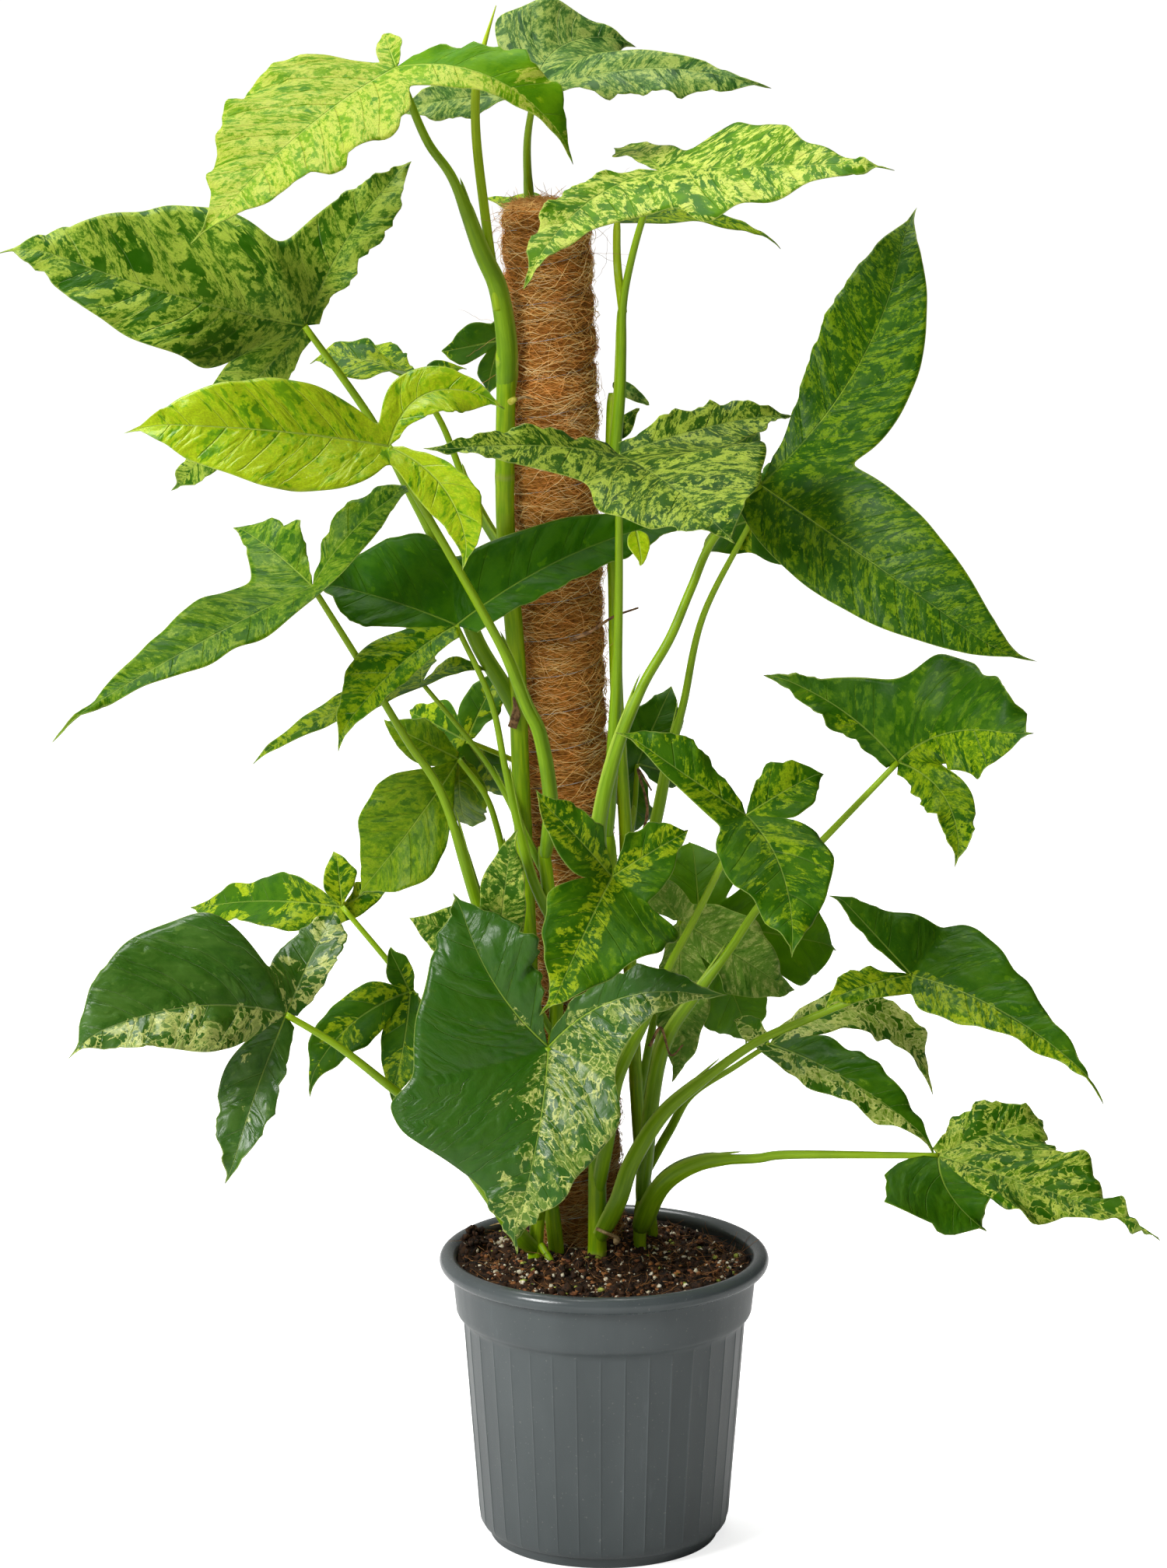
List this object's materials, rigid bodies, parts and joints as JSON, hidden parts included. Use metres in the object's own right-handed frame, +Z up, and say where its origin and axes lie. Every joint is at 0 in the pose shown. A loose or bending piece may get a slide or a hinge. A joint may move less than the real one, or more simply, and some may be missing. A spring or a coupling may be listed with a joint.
{
  "type": "potted syngonium",
  "caption": "Climbing arrowhead plant with speckled three-lobed leaves, tied to a coir pole in a round nursery pot.",
  "frame": {"origin": "centre of the pot's flat underside", "axes": "+Z up along the pot's axis, -Y towards the plant's front, +X to its right"},
  "size_m": [0.8101, 0.4104, 1.1202],
  "materials": {
    "pot_plastic": "satin slate grey injection-moulded plastic",
    "potting_mix": "damp dark peat with white perlite",
    "coir": "loose brown coconut fibre",
    "stake_wood": "plain sawn wood",
    "leaf": "satin green with lime speckles",
    "stem": "smooth pale green",
    "young_leaf": "smooth yellow green",
    "aerial_root": "dry brown"
  },
  "bodies": {
    "root": {"leaf_01_crown_left": "leaf", "leaf_02_crown_back": "leaf", "leaf_03_upper_right": "leaf", "leaf_04_upper_back": "leaf", "leaf_05_wide_left": "leaf", "leaf_06_left_back": "leaf", "leaf_07_behind_pole": "leaf", "leaf_08_bright_front": "leaf", "leaf_09_long_left": "leaf", "leaf_10_dark_centre": "leaf", "leaf_12_pale_centre": "leaf", "leaf_13_tall_right": "leaf", "leaf_14_front_centre": "leaf", "leaf_15_right": "leaf", "leaf_16_right_centre": "leaf", "leaf_17_front_big": "leaf", "leaf_18_left_big": "leaf", "leaf_19_left_twisted": "leaf", "leaf_20_light_back": "leaf", "leaf_21_back_small": "leaf", "leaf_22_thin_left": "leaf", "leaf_23_low_left": "leaf", "leaf_24_small_front": "leaf", "leaf_26_light_right_back": "leaf", "leaf_27_pale_right_back": "leaf", "leaf_28_dark_right": "leaf", "leaf_29_low_right": "leaf", "leaf_30_far_right": "leaf", "leaf_31_behind_right": "leaf", "leaf_33_dark_back": "leaf", "pole_coir": "coir", "pole_stake": "stake_wood", "pot": "pot_plastic", "root_lower": "aerial_root", "root_middle": "aerial_root", "root_upper": "aerial_root", "soil": "potting_mix", "spear_left": "young_leaf", "spear_right": "young_leaf", "stem_back": "stem", "stem_centre": "stem", "stem_front": "stem", "stem_left": "stem", "stem_right": "stem", "stem_short": "stem"}
  },
  "joints": []
}
